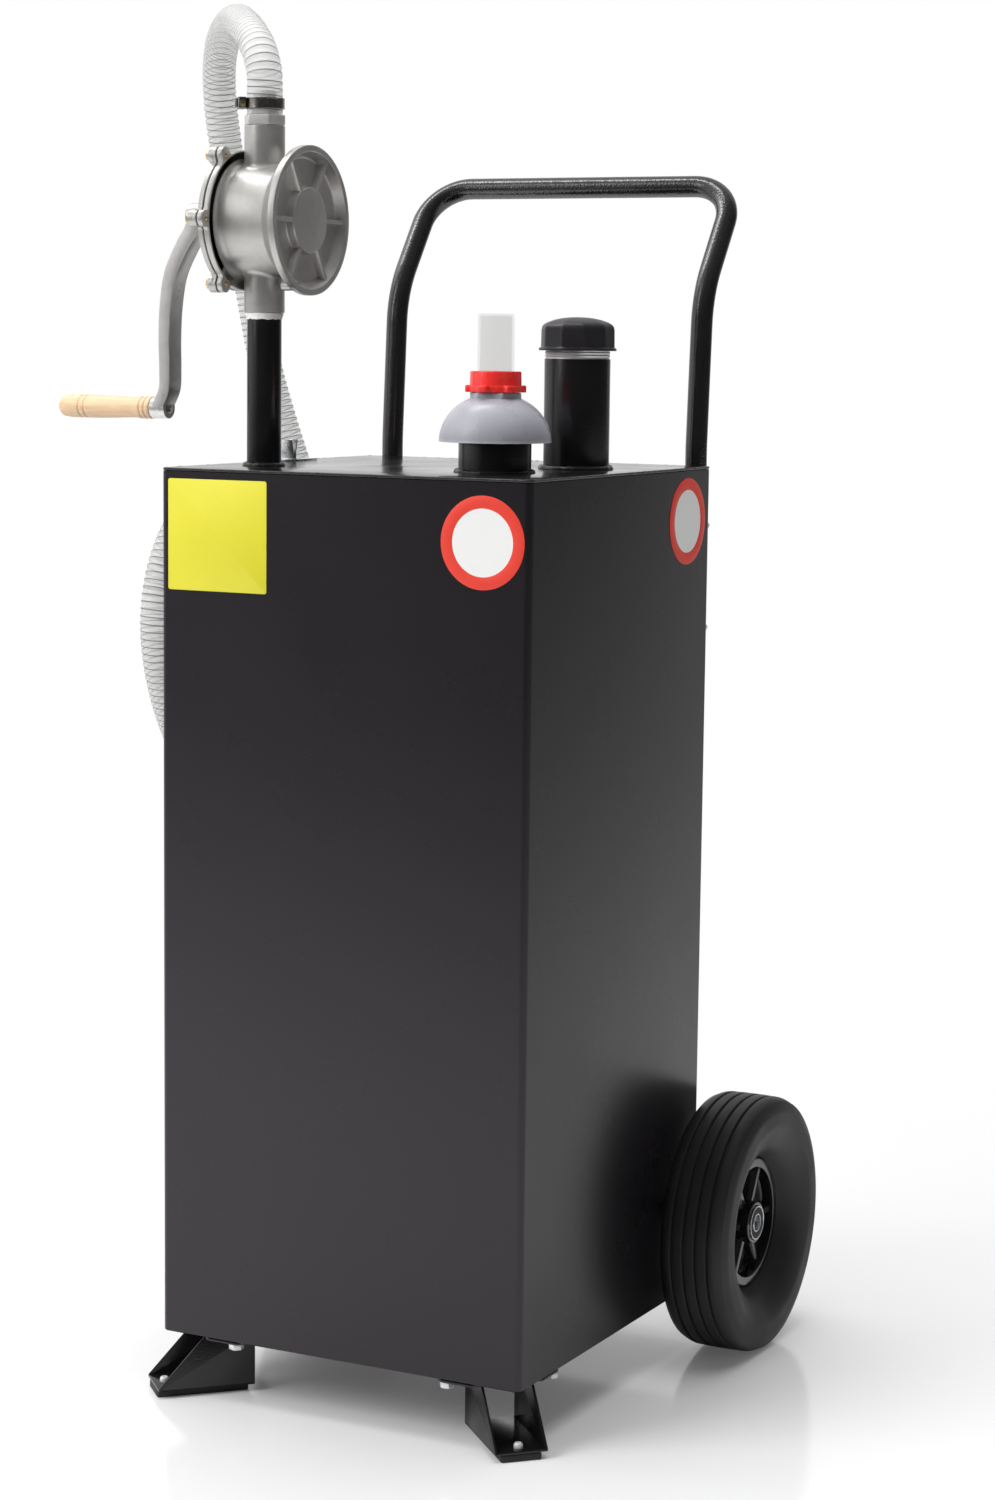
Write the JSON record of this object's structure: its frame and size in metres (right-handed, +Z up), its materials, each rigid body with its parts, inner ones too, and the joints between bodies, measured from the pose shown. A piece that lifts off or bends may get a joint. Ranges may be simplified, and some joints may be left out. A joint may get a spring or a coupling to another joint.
{
  "type": "fuel caddy",
  "caption": "Upright black steel fuel tank on two wheels and two front feet, with push handle, crank rotary pump, ribbed clear hose, float level gauge and filler cap.",
  "frame": {"origin": "on the floor, under the centre of the box of the caddy without its delivery hose", "axes": "+Z up, +X to the right along the tank's front face, +Y to the back, where the handle and wheels are"},
  "size_m": [0.6524, 0.5772, 1.3635],
  "materials": {
    "black_powder_coat": "satin powder coat",
    "cast_aluminium": "satin cast and machined",
    "zinc_plated_steel": "bright zinc plate",
    "brass": "plain",
    "black_plastic": "moulded, satin",
    "grey_plastic": "moulded, satin",
    "red_plastic": "moulded, glossy",
    "clear_plastic": "clear, slightly milky",
    "clear_hose": "clear, ribbed with white",
    "rubber": "matt",
    "tyre_rubber": "matt",
    "wood": "turned, bare",
    "thread_tape": "wound thin film",
    "rim_black": "glossy black",
    "vane_carbon": "plain",
    "gasket_paper": "fibre"
  },
  "bodies": {
    "caddy": {"tank_shell": "black_powder_coat", "tank_top": "black_powder_coat", "fill_neck": "black_powder_coat", "riser_pipe": "black_powder_coat", "gauge_neck": "black_powder_coat", "push_handle": "black_powder_coat", "left_foot": "black_powder_coat", "right_foot": "black_powder_coat", "hose_hook": "black_powder_coat", "pump_body": "cast_aluminium", "pump_cover": "cast_aluminium", "suction_tube": "zinc_plated_steel", "hose_nipple": "zinc_plated_steel", "hose_clamp": "zinc_plated_steel", "spout": "zinc_plated_steel", "spout_clamp": "zinc_plated_steel", "nozzle_clip": "zinc_plated_steel", "gauge_stem": "zinc_plated_steel", "handle_stud_1": "zinc_plated_steel", "handle_stud_2": "zinc_plated_steel", "handle_stud_3": "zinc_plated_steel", "handle_stud_4": "zinc_plated_steel", "axle": "zinc_plated_steel", "cover_bolt_1": "brass", "cover_bolt_2": "brass", "cover_bolt_3": "brass", "cover_bolt_4": "brass", "cover_bolt_5": "brass", "cover_bolt_6": "brass", "suction_strainer": "black_plastic", "gauge_base": "grey_plastic", "gauge_nut": "red_plastic", "gauge_tube": "clear_plastic", "delivery_hose": "clear_hose", "shaft_seal": "rubber", "left_foot_pad": "rubber", "right_foot_pad": "rubber", "thread_tape": "thread_tape", "pump_gasket": "gasket_paper"},
    "cap": {"fill_cap": "black_plastic", "fill_cap_gasket": "rubber"},
    "crank": {"crank_arm": "cast_aluminium", "pump_shaft": "zinc_plated_steel", "pump_rotor": "cast_aluminium", "rotor_vane_1": "vane_carbon", "rotor_vane_2": "vane_carbon", "rotor_vane_3": "vane_carbon", "rotor_vane_4": "vane_carbon", "grip_pin": "zinc_plated_steel"},
    "grip": {"crank_grip": "wood"},
    "float": {"float_arm": "zinc_plated_steel"},
    "indicator": {"gauge_rod": "red_plastic"},
    "left_wheel": {"left_tyre": "tyre_rubber", "left_rim": "rim_black", "left_outer_bearing": "zinc_plated_steel", "left_inner_bearing": "zinc_plated_steel"},
    "right_wheel": {"right_tyre": "tyre_rubber", "right_rim": "rim_black", "right_outer_bearing": "zinc_plated_steel", "right_inner_bearing": "zinc_plated_steel"}
  },
  "joints": [
    {"name": "crank_spin", "type": "hinge", "parent": "caddy", "child": "crank", "pos_m": [-0.09135, -0.16938, 1.1516], "axis": [1, 0, 0], "continuous": true},
    {"name": "grip_spin", "type": "hinge", "parent": "crank", "child": "grip", "pos_m": [-0.20935, -0.16938, 0.9656], "axis": [1, 0, 0], "continuous": true},
    {"name": "left_wheel_spin", "type": "hinge", "parent": "caddy", "child": "left_wheel", "pos_m": [-0.19085, 0.15662, 0.132], "axis": [1, 0, 0], "continuous": true},
    {"name": "right_wheel_spin", "type": "hinge", "parent": "caddy", "child": "right_wheel", "pos_m": [0.28915, 0.15662, 0.132], "axis": [1, 0, 0], "continuous": true},
    {"name": "fill_cap_lift", "type": "slide", "parent": "caddy", "child": "cap", "axis": [0, 0, 1], "range_m": [0, 0.045]},
    {"name": "float_swing", "type": "hinge", "parent": "caddy", "child": "float", "pos_m": [0.14915, -0.14638, 0.4756], "axis": [0.6858, 0.7278, 0], "range_deg": [0, 130]},
    {"name": "indicator_rise", "type": "slide", "parent": "caddy", "child": "indicator", "axis": [0, 0, 1], "range_m": [0, 0.05]}
  ],
  "couplings": [
    {"joint": "indicator_rise", "follows": "float_swing", "m_per_rad": 0.0213}
  ]
}
